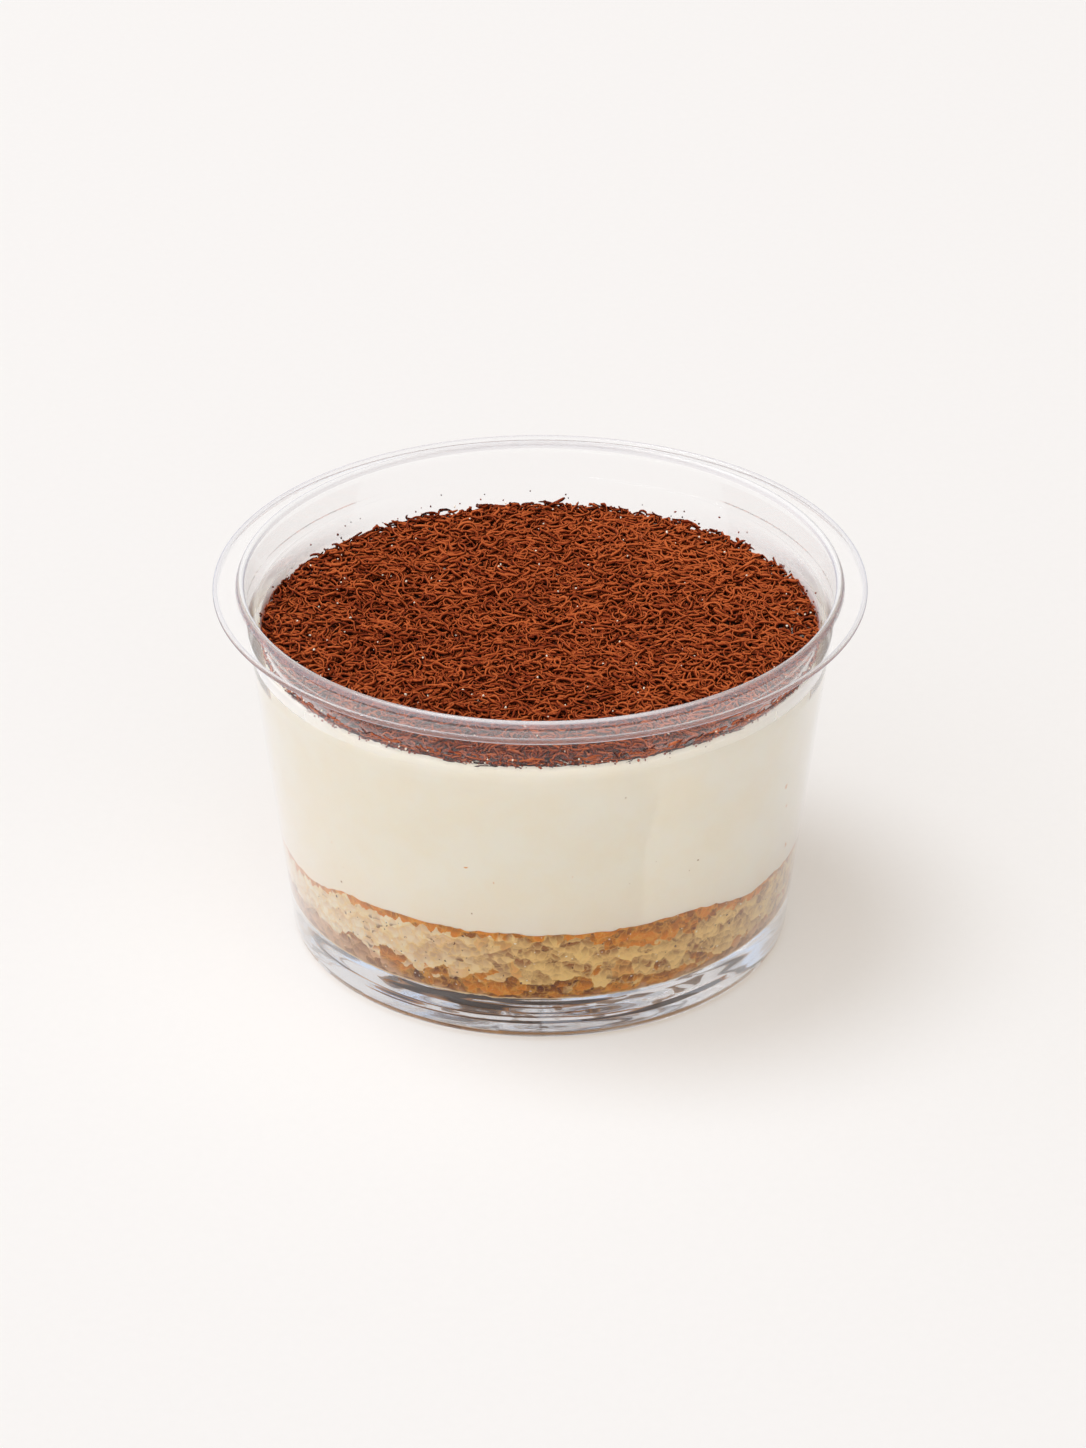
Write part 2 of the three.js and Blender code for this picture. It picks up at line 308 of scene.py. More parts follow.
# The moulded plastic is glossy, with a faint ripple from the flow of the melt round the cup. From
# the top of the cream up it is thin and bends light so little that it is seen straight through,
# with a light haze at the sides. The rounded rim bends light, with painted bluish shade where it is
# seen edge-on and a painted white highlight along the crest of the bead. The underside has a painted
# reflection in dull streaks of dark brown, pale blue and orange.
PLASTIC_IOR = 1.47
CLEAR_TINT = (0.985, 0.988, 0.995, 1.0)
LIMB_SHADE = (0.52, 0.56, 0.68, 1.0)
THIN_FROM = 44.8
THIN_SHARE = 0.95
RIM_SHARE = 0.1
LEDGE_SHARE = 0.4
FRONT_GLOSS = 0.42
HAZE_FROM = 46.7
HAZE_TO = 49.2
HAZE_AT_FRONT = 0.02
HAZE_AT_SIDES = 1.7
GLARE_UP_TO = 48.5
GLARE_AT_SIDES = 0.95
SIDE_FALLOFF = 2.6
BEAD_FROST = 0.24
PAINTED_REFLECTION_SHARE = 0.9


def clear_plastic():
    finish = new_finish("clear_plastic")
    height = finish.axis(finish.place(), "Z")

    def above(level, rise):
        """0 below a level and 1 from a small rise over it, both in millimetres."""
        return height.between(level * MM, (level + rise) * MM)

    ripple = finish.bump(finish.grain(55, stretch=(1, 1, 3.5)) * (1 - above(46, 4)), 0.06)
    haze = finish.grain(400, detail=3.0)
    facing = finish.node("ShaderNodeLayerWeight", {}, {"Blend": 0.5, "Normal": ripple}, "Facing")
    at_sides = facing.maths("POWER", facing, SIDE_FALLOFF)
    rounded = finish.stored("rounded")
    # Painted bluish shade on the rounded lip and bead where they are seen edge-on, in both what shows
    # through them and what they mirror.
    limb_shade = rounded * facing.between(0.45, 0.95)

    def skin(tint, roughness, variation, **sockets):
        """A surface with the cup's ripple and an uneven gloss."""
        sockets = {"Base Color": tint, "Normal": ripple, **sockets}
        return finish.surface({"Roughness": roughness + variation * haze, **sockets})

    def bent_through(tint):
        sockets = {"Color": tint, "Roughness": 0.008 + 0.02 * haze, "IOR": PLASTIC_IOR}
        return finish.node("ShaderNodeBsdfRefraction", {}, {**sockets, "Normal": ripple})

    bent = finish.layered(limb_shade, bent_through(CLEAR_TINT), bent_through(LIMB_SHADE))
    mirrored = skin(finish.blend(limb_shade, CLEAR_TINT, LIMB_SHADE), 0.01, 0.02, Metallic=1.0)
    gloss = finish.node("ShaderNodeFresnel", {}, {"IOR": PLASTIC_IOR, "Normal": ripple})
    gloss = gloss * (FRONT_GLOSS + (1 - FRONT_GLOSS) * gloss)
    thick = finish.layered(gloss, bent, mirrored)
    hazy = above(HAZE_FROM, 0.4) * (1 - 0.9 * above(HAZE_TO, 1.0))
    cover = HAZE_AT_FRONT + HAZE_AT_SIDES * hazy * at_sides
    thin = skin((0.97, 0.94, 0.93, 1.0), 0.2, 0.1, Alpha=cover)
    ledge = above(LEDGE_HEIGHT - 0.15, 0.1) * (1 - above(LEDGE_HEIGHT + 0.05, 0.1))
    clear = THIN_SHARE * above(THIN_FROM, 0.8)
    clear = clear - (THIN_SHARE - RIM_SHARE) * rounded - LEDGE_SHARE * ledge
    body = finish.layered(clear, thick, thin)
    glare = skin((0.95, 0.95, 0.96, 1.0), 0.1, 0.05, Metallic=1.0)
    glaring = GLARE_AT_SIDES * at_sides * (1 - 0.94 * above(GLARE_UP_TO, 1.0))
    body = finish.layered(glaring, body, glare)
    # A painted white highlight along the crest of the bead, over the lilac-grey of the frost below
    # it.
    crest_highlight = above(CUP_HEIGHT - 0.3, 0.15)
    frost = skin(finish.blend(crest_highlight, colour(222, 218, 226), colour(255, 255, 255)), 0.3, 0.1)
    body = finish.layered(BEAD_FROST * above(FLANGE_TOP + 0.1, 0.08), body, frost)
    # Painted reflection on the underside: pale blue and dark brown streaks, orange where they are
    # strongest, standing for what the thick base bends and mirrors.
    painted_reflection = finish.stored("painted_reflection")
    cool = finish.grain(70, detail=1.0, stretch=(1, 1, 3)).between(0.56, 0.6)
    shade = finish.blend(cool, colour(72, 48, 28), colour(196, 220, 250))
    shade = finish.blend(painted_reflection.between(0.08, 0.2), colour(240, 170, 92), shade)
    body = finish.layered(PAINTED_REFLECTION_SHARE * painted_reflection.between(0.0, 0.08), body, skin(shade, 0.5, 0.2))
    lit = finish.node("ShaderNodeBsdfTransparent", {}, {"Color": (0.96, 0.96, 0.965, 1.0)})
    shadow = finish.node("ShaderNodeLightPath", {}, {}, "Is Shadow Ray")
    return finish.show(finish.layered(shadow, body, lit))


# The underside's painted reflection lies on a ring of the dish and fades at the left and right, so
# that it is strongest at the front and back.
PAINTED_REFLECTION_RING = (17.0, 30.6)
PAINTED_REFLECTION_FADE = 0.9
PAINTED_REFLECTION_FADE_ANGLE = 8
section = cup_section()
turn = np.linspace(0, 2 * np.pi, CUP_SEGMENTS, endpoint=False)
rings = section[1:-1]
radius = rings[:, :1] + 0 * turn
sunk = (np.arange(len(rings)) < UNDERSIDE_ROWS)[:, None] * SINK_DEPTH
dish = sunk * lumps(3 * np.cos(turn) + 6, 3 * np.sin(turn) + 6, radius / 3.2)
streaks = lumps(1.4 * np.cos(turn) + 4, 1.4 * np.sin(turn) + 4, radius / 1.3)
streaks = streaks + 0.6 * lumps(3 * np.cos(turn) + 8, 3 * np.sin(turn) + 8, radius / 0.8)
streaks = streaks - PAINTED_REFLECTION_FADE * np.cos(turn - math.radians(PAINTED_REFLECTION_FADE_ANGLE)) ** 2
in_ring = (sunk > 0) & (radius > PAINTED_REFLECTION_RING[0]) & (radius < PAINTED_REFLECTION_RING[1])
streaks = np.where(in_ring, streaks, -1.0)

# The lip and the bead are marked as rounded. The section has a point close beside each of them,
# so that the mark doesn't spread along the flat flange or down the neck.
rounded = (radius > RIM_RADIUS - 1.9 * LIP_RADIUS) | (rings[:, 1:] > FLANGE_TOP + 0.03)
piece(
    "clear_cup",
    round_points(radius, rings[:, 1:] + dish, turn),
    round_faces(len(rings), CUP_SEGMENTS),
    clear_plastic(),
    node="cup",
    shade={
        "painted_reflection": np.concatenate([[-1], streaks.ravel(), [-1]]),
        "rounded": np.concatenate([[0], rounded.ravel(), [0]]),
    },
    sharp=32,
)


# The sponge: finger biscuits soaked with coffee and pressed down, an open crumb of thin pale walls
# round pores, with amber pockets where the coffee stands. It is wet, so it lies against the wall
# all over, and its flat underside stands a little above the floor of the cup.
SPONGE_TOP = 18.6
SPONGE_WAVE = 0.27
SPONGE_SAG = 2.0
SAG_MIDDLES = (-76, 67)
SAG_HALF = 32
SPONGE_SEGMENTS = 1200
SPONGE_SPACING = 0.2
BIG_FLAKE = 1.9
SMALL_FLAKE = 0.95
FOOD_PRESS = 0.06
AIR_UNDER = 0.36
BROWN_STRETCHES = ((-60, 36, 2.8), (62, 30, 1.6), (148, 40, 3.0))
COFFEE_STRETCHES = ((27, 19, 2.6), (-30, 16, 0.1), (-128, 30, 2.2), (170, 24, 1.8))
# The crumb is paler on these stretches of the wall: a broad one at the left and a slight one at the
# right.
PALER_STRETCHES = ((-68, 72, 0.9), (84, 40, 0.25))


def cells(spots, size, seed):
    """For points among scattered cells: the distance to a cell's wall, and the cell's number."""
    place = spots / size + seed
    home = np.floor(place)
    first = np.full(place.shape[:-1], 9.0)
    second = first.copy()
    number = np.zeros(first.shape)
    for shift in itertools.product((-1, 0, 1), repeat=3):
        cell = home + shift
        i, j, k = np.moveaxis(cell, -1, 0)
        centre = cell + np.stack([lattice(i, j, k + n) for n in (0.3, 11.7, 23.1)], -1)
        away = np.linalg.norm(place - centre, axis=-1)
        closer = away < first
        second = np.where(closer, first, np.minimum(second, away))
        number = np.where(closer, lattice(i + 0.5, j, k), number)
        first = np.where(closer, away, first)
    return second - first, number


def step_between(value, low, high):
    share = np.clip((value - low) / (high - low), 0, 1)
    return share * share * (3 - 2 * share)


def stretch_of_wall(angle, middle, half):
    """1 on a stretch of the wall and 0 past its ends. Its degrees start at the front."""
    away = (np.degrees(angle) + 90 - middle + 180) % 360 - 180
    return 1 - step_between(np.abs(away), 0.4 * half, half)


def stretches(angle, rows):
    """Sum of amounts on stretches of the wall, from the middle, half width and amount of each."""
    return sum(amount * stretch_of_wall(angle, middle, half) for middle, half, amount in rows)


def sponge_top(angle):
    """Height of the ragged line between the sponge and the cream, which sags at two sides."""
    x, y = np.cos(angle), np.sin(angle)
    broad = lumps(2.2 * x + 5, 2.2 * y + 5, 1.5)
    fine = lumps(9 * x + 20, 9 * y + 20, 4.5)
    torn = 0.5 - 1.6 * np.abs(lumps(22 * x + 40, 22 * y + 40, 2.5))
    sag = sum(stretch_of_wall(angle, middle, SAG_HALF) for middle in SAG_MIDDLES)
    return SPONGE_TOP + SPONGE_WAVE * (broad + fine + torn) - SPONGE_SAG * sag


def crumb_flakes(finish, spot, per_metre):
    """Flakes of crumb: nearness to their edges, a number for each, its middle, and its slope for
    painted shade.
    """
    sockets = {"Vector": spot, "Scale": per_metre, "Randomness": 1.0}
    gap = finish.node("ShaderNodeTexVoronoi", {"feature": "DISTANCE_TO_EDGE"}, sockets)
    number = finish.axis(finish.node("ShaderNodeTexVoronoi", {}, sockets, "Color"), "X")
    middle = finish.axis(finish.node("ShaderNodeTexVoronoi", {}, sockets, "Position"), "Z")
    slope = (middle - finish.axis(spot, "Z")) * per_metre
    return 1 - gap.between(0.0, 0.14), number, middle * 1000, slope


def soaked_crumb():
    finish = new_finish("soaked_crumb")
    place = finish.place()
    swirl = finish.node("ShaderNodeTexNoise", {}, {"Vector": place, "Scale": 620.0}, "Color")
    sockets = {0: swirl, 1: (1.5 * MM, 1.5 * MM, 1.5 * MM), 2: place}
    bent = finish.node("ShaderNodeVectorMath", {"operation": "MULTIPLY_ADD"}, sockets)
    rim, number, middle, slope = crumb_flakes(finish, bent, 400.0)
    small_rim, small_number, small_middle, small_slope_shade = crumb_flakes(finish, bent, 760.0)
    low_amber = (finish.stored("amber_low") - middle + 1.6 * small_number).between(0.4, 0.6)
    high_amber = (small_middle - finish.stored("amber_high")).between(-0.1, 0.1)
    lone_amber = number.between(0.9, 0.92) * 0.6 * (1 - finish.stored("paler"))
    pocket = low_amber.maths("MAXIMUM", low_amber, high_amber)
    pocket = pocket.maths("MAXIMUM", pocket, lone_amber)
    soak = finish.stored("soak")
    # Each flake is painted lighter towards its bottom and darker towards its top, a painted shade of
    # the crumb's relief over the flake's own tone.
    tone = (0.2 + 0.35 * number + 0.35 * small_number + 0.4 * slope + 0.2 * small_slope_shade)
    tone = tone.between(0.0, 1.0)
    # The crumb is paler on two stretches of the wall, at the left and, slightly, at the right.
    paler = finish.stored("paler")
    wet = finish.blend(tone, colour(146, 76, 14), colour(255, 218, 140))
    crumb = finish.blend(paler, wet, finish.blend(tone, colour(242, 206, 160), colour(255, 244, 218)))
    amber = finish.blend(tone + 0.25 * high_amber, colour(84, 34, 2), colour(226, 138, 34))
    brown = finish.blend(tone, colour(152, 98, 58), colour(228, 182, 138))
    body = finish.blend(soak, finish.blend(pocket, crumb, amber), brown)
    light = finish.blend(pocket, colour(250, 214, 140), colour(240, 178, 76))
    broken = finish.grain(900, detail=2.0).between(0.35, 0.55)
    line = rim.maths("MAXIMUM", rim, 0.8 * small_rim) * broken * (1 - 0.7 * soak) * 0.6
    lined = finish.blend(line, body, light)
    # Painted shade in some pores, on one side of the small flakes.
    pore_shade = (0.16 - small_number).between(0.0, 0.08) * (1 - small_rim) * small_slope_shade.between(0.0, 0.5)
    pore_shaded = finish.blend(pore_shade * (1 - soak) * 0.8, lined, colour(122, 66, 20))
    pitted = finish.blend(finish.dots(900, 0.26, 0.25), pore_shaded, colour(92, 42, 12))
    sparkling = finish.blend(finish.dots(1050, 0.24, 0.25), pitted, colour(255, 246, 228))
    # A painted highlight: a pale line along the rounded corner of the cup's floor.
    corner_highlight = finish.blend(finish.stored("corner"), sparkling, colour(255, 224, 178))
    return finish.show(finish.surface({
        "Base Color": corner_highlight,
        "Roughness": 0.35 + 0.25 * finish.grain(2200, detail=2.0),
        "Specular IOR Level": 0.1,
        "Subsurface Weight": 0.2,
        "Subsurface Radius": (1.0, 0.6, 0.3),
        "Subsurface Scale": 0.6 * MM,
        "Normal": finish.bump(finish.grain(3600, detail=3.0), 0.12),
    }))


turn = np.linspace(0, 2 * np.pi, SPONGE_SEGMENTS, endpoint=False)
floor_radii = np.array([6, 12, 18, 23, 27, 30, 32, CORNER_CENTRE])
bend = np.radians(np.linspace(-90, -math.degrees(math.atan(WALL_TAPER)), 13))[1:]
wall_rows = int((SPONGE_TOP - CORNER_HEIGHT) / SPONGE_SPACING)
climb = np.linspace(0, 1, wall_rows + 1)[1:, None]
wall_heights = CORNER_HEIGHT + climb * (sponge_top(turn) - CORNER_HEIGHT)
level = np.zeros((len(floor_radii), 1))
slope_up = np.sin(bend)[:, None]
slope_out = np.cos(bend)[:, None]
radius = np.vstack([
    floor_radii[:, None] + 0 * turn,
    CORNER_CENTRE + FLOOR_CORNER * slope_out + 0 * turn,
    inner_radius(wall_heights),
])
height = np.vstack([
    FLOOR_HEIGHT + level + 0 * turn, CORNER_HEIGHT + FLOOR_CORNER * slope_up + 0 * turn, wall_heights
])
spots = np.stack([radius * np.cos(turn), radius * np.sin(turn), height], -1)


def cloud_of(size, seed=0.0):
    """Smooth noise from -1 to 1 over the sponge, with lumps of a size in millimetres."""
    return lumps(*np.moveaxis(spots / size + seed, -1, 0))


bent = spots + 0.4 * np.stack([cloud_of(1.1, seed) for seed in (3.1, 17.3, 29.7)], -1)
big_number = cells(bent, BIG_FLAKE, 3.0)[1]
small_gap, small_number = cells(bent, SMALL_FLAKE, 17.0)
flakes = 0.5 * big_number + 0.5 * small_number + 0.3 * np.minimum(small_gap / 0.35, 1)
brown_line = 7.3 + 0.7 * cloud_of(5.0) + stretches(turn, BROWN_STRETCHES)
soak = step_between(brown_line - height + 0.8 * cloud_of(1.6), -0.6, 0.6)
coffee_depth = 0.05 + 0.4 * cloud_of(4.0, 5.0) + stretches(turn, COFFEE_STRETCHES)
press = FOOD_PRESS + 0.3 * flakes * (1 - 0.7 * soak) + 0.06 * (1 + cloud_of(0.6))
touch = np.vstack([level, step_between(bend, math.radians(-78), math.radians(-58))[:, None]])
touch = np.vstack([touch, np.ones((wall_rows, 1))])
relief = touch * (press + AIR_UNDER) - AIR_UNDER
out_radial = np.vstack([level, slope_out, np.ones((wall_rows, 1))])
out_down = np.vstack([level - 1, slope_up, np.zeros((wall_rows, 1))])
# Rows in the rounded corner of the floor that get the painted highlight line.
corner_highlight = 1.0 * (np.abs(np.degrees(bend) + 59) < 12)[:, None]
marks = {
    "soak": soak,
    "amber_low": 10.3 + 1.4 * cloud_of(6.0, 9.0),
    "amber_high": sponge_top(turn) - coffee_depth,
    "paler": stretches(turn, PALER_STRETCHES) + 0 * height,
    "corner": np.vstack([level, corner_highlight, np.zeros((wall_rows, 1))]) + 0 * turn,
}
piece(
    "sponge_crumb",
    round_points(radius + relief * out_radial, height + relief * out_down, turn),
    round_faces(len(radius), SPONGE_SEGMENTS),
    soaked_crumb(),
    node="sponge",
    shade={title: np.concatenate([[0], mark.ravel(), [0]]) for title, mark in marks.items()},
)


# The coffee under the sponge: what ran out of the soaked biscuits lies in streaks between the middle
# of the sponge and the floor of the cup, with air round them. The thick base mirrors it all round.
FILM_RADIUS = 31.0
FILM_SEGMENTS = 280
FILM_RINGS = 56
FILM_THICKNESS = 0.26
FILM_PRESS = 0.05
FILM_AIR = 0.09
FILM_COVER = 0.2
FILM_REACH = 16.0


def spilt_coffee():
    finish = new_finish("spilt_coffee")
    depth = finish.stored("depth")
    cloud = finish.grain(260, detail=3.0).between(0.35, 0.65)
    dark = finish.blend(cloud, colour(100, 68, 40), colour(204, 158, 112))
    body = finish.blend(depth.between(0.02, 0.2), colour(236, 182, 120), dark)
    return finish.show(finish.surface({
        "Base Color": body,
        "Roughness": 0.2 + 0.1 * cloud,
        "Normal": finish.bump(finish.grain(900, detail=2.0), 0.02),
    }))


turn = np.linspace(0, 2 * np.pi, FILM_SEGMENTS, endpoint=False)
inward = np.linspace(FILM_RADIUS, 1.0, FILM_RINGS)[:, None] + 0 * turn
streaks = lumps(5 * np.cos(turn) + 7, 5 * np.sin(turn) + 7, inward / 1.9)
streaks = streaks + 0.6 * lumps(11 * np.cos(turn) + 3, 11 * np.sin(turn) + 3, inward / 1.0)
streaks = streaks - FILM_COVER - (inward > FILM_REACH)
underside = FLOOR_HEIGHT + np.where(streaks > 0, -FILM_PRESS, -FILM_AIR) * streaks.clip(-1.2, 1)
top = np.full((2, FILM_SEGMENTS), FLOOR_HEIGHT + FILM_THICKNESS)
depth = np.concatenate([[0], streaks[::-1].clip(0, 1).ravel(), np.zeros(2 * FILM_SEGMENTS + 1)])
piece(
    "coffee_film",
    round_points(
        np.vstack([inward[::-1], inward[:1], inward[FILM_RINGS // 2][None]]),
        np.vstack([underside[::-1], top]),
        turn,
    ),
    round_faces(FILM_RINGS + 2, FILM_SEGMENTS),
    spilt_coffee(),
    shade={"depth": depth},
)


# The cream: mascarpone whipped with egg and sugar, spooned in while soft, so it fills the cup from
# wall to wall and takes the shape of the crumb's uneven top.
CREAM_TOP = 47.0
LAYER_TILT = 0.017
CREAM_SEGMENTS = 900
CREAM_ROWS = 26


def whipped_cream():
    finish = new_finish("whipped_cream")
    cloud = finish.grain(110, detail=4.0, roughness=0.6)
    body = finish.blend(cloud.between(0.3, 0.7), colour(255, 243, 220), colour(255, 247, 229))
    orange = finish.blend(finish.dots(330, 0.16, 0.12), body, colour(232, 168, 92))
    specked = finish.blend(finish.dots(450, 0.1, 0.12), orange, colour(176, 140, 96))
    return finish.show(finish.surface({
        "Base Color": specked,
        "Roughness": 0.42 + 0.1 * finish.grain(500, detail=2.0),
        "Subsurface Weight": 0.15,
        "Subsurface Radius": (1.0, 0.75, 0.5),
        "Subsurface Scale": 1.5 * MM,
        "Normal": finish.bump(finish.grain(250, detail=4.0), 0.1),
    }))


def tilted(level, y):
    """A level of the two top layers, which stand a little higher at the front."""
    return level - LAYER_TILT * y


turn = np.linspace(0, 2 * np.pi, CREAM_SEGMENTS, endpoint=False)
climb = np.linspace(0, 1, CREAM_ROWS)[:, None]
foot = sponge_top(turn) - 1.2
x, y = inner_radius(CREAM_TOP) * np.cos(turn), inner_radius(CREAM_TOP) * np.sin(turn)
ragged = 0.14 * lumps(x / 0.7, y / 0.7, 3.5) + 0.12 * lumps(x / 1.9, y / 1.9, 5.5)
brim = tilted(CREAM_TOP + 0.1, y) + ragged
height = foot + climb * (brim - foot)
spots = [height * 0 + np.cos(turn) * 40, height * 0 + np.sin(turn) * 40, height]
swell = 0.05 * (1 + lumps(*[c / 7.0 for c in spots])) + 0.01 * lumps(*[c / 1.5 for c in spots])
piece(
    "mascarpone_cream",
    round_points(inner_radius(height) + FOOD_PRESS + swell, height, turn),
    round_faces(CREAM_ROWS, CREAM_SEGMENTS),
    whipped_cream(),
    node="cream",
)


# The bed of the shavings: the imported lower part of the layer, too dark and tangled to make out
# single shavings, which meets the wall all round.
SHAVINGS_TOP = 48.3
HEAP_WAVE = 0.3
HEAP_LUMP = 11.0
EDGE_DROP = 0.25
EDGE_REACH = (34, 40)
BED_DROP = 0.9
BED_SEGMENTS = 280
BED_RINGS = 56


def heap(x, y):
    """Height of the layer of shavings, which is uneven and falls off a little at the wall."""
    settled = EDGE_DROP * step_between(np.hypot(x, y), *EDGE_REACH)
    uneven = HEAP_WAVE * lumps(x / HEAP_LUMP, y / HEAP_LUMP, 2.5)
    return tilted(SHAVINGS_TOP, y) + uneven - settled


def chocolate(name, dark, middle, bright):
    """Milk chocolate, satin where the blade cut it, and duller where it rubbed off."""
    finish = new_finish(name)
    shade = finish.stored("shade")
    cloud = finish.grain(1500, detail=3.0)
    tone = finish.blend(shade.between(0.0, 0.6), dark, middle)
    tone = finish.blend(shade.between(0.5, 1.0), tone, bright)
    dusty = finish.blend(cloud.between(0.5, 0.8) * 0.25, tone, bright)
    return finish.show(finish.surface({
        "Base Color": dusty,
        "Roughness": 0.5 + 0.25 * cloud,
        "Specular IOR Level": 0.08,
        "Normal": finish.bump(finish.grain(5200, detail=2.0), 0.05),
    }))


bed_chocolate = chocolate(
    "packed_chocolate", colour(20, 5, 2), colour(50, 16, 7), colour(150, 92, 68)
)
turn = np.linspace(0, 2 * np.pi, BED_SEGMENTS, endpoint=False)
share = np.linspace(1, 0.01, BED_RINGS)[:, None]
edge = inner_radius(SHAVINGS_TOP) + FOOD_PRESS
x, y = share * edge * np.cos(turn), share * edge * np.sin(turn)
tangle = lumps(x / 0.8, y / 0.8, 7.5)
top = heap(x, y) - BED_DROP + 0.28 * tangle
wall_climb = np.linspace(0, 1, 8)[:-1, None]
wall_foot = tilted(CREAM_TOP - 0.5, y[0])
wall_z = wall_foot + wall_climb * (top[0] + 0.4 - wall_foot)
height = np.vstack([wall_z, top])
radius = np.vstack([inner_radius(wall_z) + FOOD_PRESS, share * edge + 0 * turn])
# Where the bed meets the wall it is painted lighter, a painted reflection of the pale room on the
# wall over the smeared chocolate's uneven tone.
smear_and_reflection = 0.52 + 0.55 * lumps(x[0] / 1.4, y[0] / 1.4, wall_z / 0.7)
dark_wall = np.vstack([smear_and_reflection, 0.2 + 0.25 * tangle]).clip(0, 1)
piece(
    "shavings_bed",
    round_points(radius, height, turn),
    round_faces(len(radius), BED_SEGMENTS),
    bed_chocolate,
    node="chocolate_shavings",
    shade={"shade": np.concatenate([[0], dark_wall.ravel(), [0]])},
)


# The shavings: curls about half a millimetre wide, cut from a block of milk chocolate with a fine
# grater and let fall on the cream, where they lie across each other in a loose tangle.
GOLDEN_ANGLE = math.pi * (3 - math.sqrt(5))
SHAVING_WIDTH = 0.45
SHAVING_THICKNESS = 0.36
SHAVING_SIDES = 3
# Painted highlight on the top of each shaving and painted shade on its two lower edges.
PAINTED_RIDGE_LIGHT = (0.5, -0.4, -0.6)
PAINTED_LIGHT_SLOPE = 0.0016
WALL_SINK = 0.22


def shaving_paths(count, rng, length, turning, steps, tilt, start=0.0):
    """Paths of shavings spread evenly over the layer, each curled in a plane of its own tilt."""
    order = np.arange(count) + 0.5
    reach = inner_radius(SHAVINGS_TOP) - 0.1
    ring = reach * np.sqrt(start**2 + (1 - start**2) * order / count)
    around = order * GOLDEN_ANGLE + rng.uniform(0, 2 * np.pi)
    jitter = rng.normal(0, 0.45, (2, count))
    run = rng.uniform(*length, (count, 1)) / steps
    bend = rng.uniform(*turning, (count, 1)) * rng.choice([-1, 1], (count, 1))
    along = (np.arange(steps) + 0.5) / steps - 0.5
    waver = rng.normal(0, 0.4, (count, 1)) * np.sin(
        rng.uniform(5, 10, (count, 1)) * along + rng.uniform(0, 6, (count, 1))
    )
    start_point = np.zeros((count, 1))
    heading = bend * along + waver
    forward = np.cumsum(np.hstack([start_point, run * np.cos(heading)]), axis=1)
    aside = np.cumsum(np.hstack([start_point, run * np.sin(heading)]), axis=1)
    forward -= forward.mean(axis=1, keepdims=True)
    aside -= aside.mean(axis=1, keepdims=True)
    lean = rng.uniform(-tilt, tilt, (count, 1))
    rise = aside * np.sin(lean)
    aside = aside * np.cos(lean)
    facing = rng.uniform(0, 2 * np.pi, (count, 1))
    x = forward * np.cos(facing) - aside * np.sin(facing)
    y = forward * np.sin(facing) + aside * np.cos(facing)
    x += (ring * np.cos(around) + jitter[0])[:, None]
    y += (ring * np.sin(around) + jitter[1])[:, None]
    return x, y, rise


def within_wall(x, y, z):
    """Moves points that would pass the wall back to just inside its face."""
    away = np.hypot(x, y)
    limit = inner_radius(z) + WALL_SINK - 0.5 * SHAVING_WIDTH
    pull = np.minimum(1.0, limit / np.maximum(away, 1e-6))
    return x * pull, y * pull


def ribbon(x, y, z, width, thickness, flat=(0, 0, 1)):
    """Points and faces of shavings along many paths at once, each with a ridge that wanders."""
    path = np.stack([x, y, z], -1)
    along = np.gradient(path, axis=1)
    along /= np.linalg.norm(along, axis=-1, keepdims=True)
    across = np.cross(along, np.broadcast_to(np.asarray(flat, float), path.shape))
    across /= np.maximum(np.linalg.norm(across, axis=-1, keepdims=True), 1e-6)
    up = np.cross(across, along)
    count, stops = x.shape
    chance = np.random.default_rng(count)
    knots = chance.uniform(0.8, 1.15, (count, stops))
    knots = (knots * (1 - 0.45 * np.abs(np.linspace(-1, 1, stops)) ** 5))[:, :, None]
    half_wide = 0.5 * width[:, None, None] * knots
    half_thick = 0.5 * thickness[:, None, None] * knots
    wander = chance.uniform(0, 6, (count, 1)) + chance.uniform(0, 0.9, (count, 1)) * np.arange(stops)
    ridge = 0.7 * np.sin(wander)[:, :, None]
    ring = np.stack([
        path + up * half_thick + across * half_wide * ridge,
        path - up * half_thick - across * half_wide,
        path - up * half_thick + across * half_wide,
    ], axis=2)
    index = np.arange(count * stops * SHAVING_SIDES).reshape(count, stops, SHAVING_SIDES)
    after = np.roll(index, -1, axis=2)
    sides = np.stack([index[:, 1:], after[:, 1:], after[:, :-1], index[:, :-1]], -1)
    caps = np.stack([index[:, 0], index[:, -1, ::-1]])
    return ring.reshape(-1, 3), sides.reshape(-1, 4).tolist() + caps.reshape(-1, 3).tolist()


def ridge_shade(rng, tone, spread, x, y):
    """Tones of shavings: each has its own, with a painted highlight on the ridge and painted shade
    below it.
    """
    clumps_and_light = 0.1 * lumps(x / 24 + 5, y / 24 + 5, 3.5) + 0.12 * lumps(x / 3.5, y / 3.5, 1.5)
    # The layer is painted a little lighter towards the back and the right: painted light over the
    # clumps' own tones.
    clumps_and_light = clumps_and_light + PAINTED_LIGHT_SLOPE * (x + y) - 0.05
    own = rng.normal(tone, spread, (len(x), 1)) + rng.normal(0, 0.1, x.shape) + clumps_and_light
    return (own[:, :, None] + np.array(PAINTED_RIDGE_LIGHT)).clip(0, 1)


